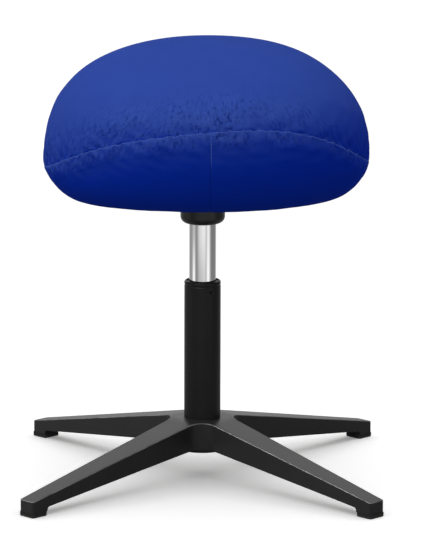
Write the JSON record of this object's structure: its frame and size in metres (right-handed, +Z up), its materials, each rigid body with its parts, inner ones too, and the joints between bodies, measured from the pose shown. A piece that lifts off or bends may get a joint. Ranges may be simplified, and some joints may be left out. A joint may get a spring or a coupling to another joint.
{
  "type": "swivel ottoman",
  "caption": "Pebble-shaped upholstered ottoman on a height-adjustable swivel column with a low cast star base.",
  "frame": {"origin": "centre of the base on the floor, under the column's axis", "axes": "+Z up along the column, -Y towards the side that was pictured, +X to its right"},
  "size_m": [0.3678, 0.3678, 0.461],
  "materials": {
    "cast_black": "satin powder coat on die-cast aluminium",
    "tube_black": "semi-gloss black coat on steel",
    "chrome": "polished",
    "steel": "bright zinc",
    "plate_black": "matt black coat on steel",
    "plastic_black": "fine-grained moulded",
    "rubber_black": "matt",
    "aluminium": "turned",
    "plywood": "birch plywood, raw",
    "foam": "moulded polyurethane foam",
    "cloth_blue": "felted wool cloth, soft short nap"
  },
  "bodies": {
    "base": {"star_base": "cast_black", "glide_front_left": "plastic_black", "glide_front_right": "plastic_black", "glide_back_left": "plastic_black", "glide_back_right": "plastic_black", "stand_tube": "tube_black", "guide_bush": "plastic_black", "lower_race": "steel"},
    "cage": {"ball_cage": "plastic_black", "bearing_balls": "steel"},
    "rod": {"piston_rod": "steel", "piston": "aluminium", "piston_nut": "steel", "piston_seal": "rubber_black", "upper_race": "steel", "bump_stop": "rubber_black", "clip_washer": "steel", "rod_clip": "steel"},
    "seat": {"pressure_tube": "chrome", "rod_guide": "plastic_black", "rod_seal": "rubber_black", "valve_housing": "aluminium", "taper_socket": "steel", "mounting_plate": "plate_black", "collar": "plastic_black", "lever_bracket": "tube_black", "lever_pin": "steel", "plate_bolts": "steel", "plate_washers": "steel", "t_nuts": "steel", "seat_board": "plywood", "foam_core": "foam", "top_cover": "cloth_blue", "lower_cover_left": "cloth_blue", "lower_cover_right": "cloth_blue"},
    "lever": {"release_lever": "tube_black", "lever_grip": "plastic_black"},
    "pin": {"release_pin": "steel"}
  },
  "joints": [
    {"name": "swivel", "type": "hinge", "parent": "base", "child": "rod", "pos_m": [0, 0, 0.04], "axis": [0, 0, 1], "continuous": true},
    {"name": "cage_turn", "type": "hinge", "parent": "base", "child": "cage", "pos_m": [0, 0, 0.04], "axis": [0, 0, 1], "continuous": true},
    {"name": "height", "type": "slide", "parent": "rod", "child": "seat", "axis": [0, 0, 1], "range_m": [-0.055, 0.04]},
    {"name": "lever_lift", "type": "hinge", "parent": "seat", "child": "lever", "pos_m": [0, 0.036, 0.304], "axis": [1, 0, 0], "range_deg": [0, 5.5], "stiffness_Nm_per_rad": 6, "springref_deg": -2.86},
    {"name": "pin_press", "type": "slide", "parent": "seat", "child": "pin", "axis": [0, 0, 1], "range_m": [-0.0036, 0]}
  ],
  "couplings": [
    {"joint": "cage_turn", "follows": "swivel", "ratio": 0.5},
    {"joint": "pin_press", "follows": "lever_lift", "m_per_rad": -0.036}
  ]
}
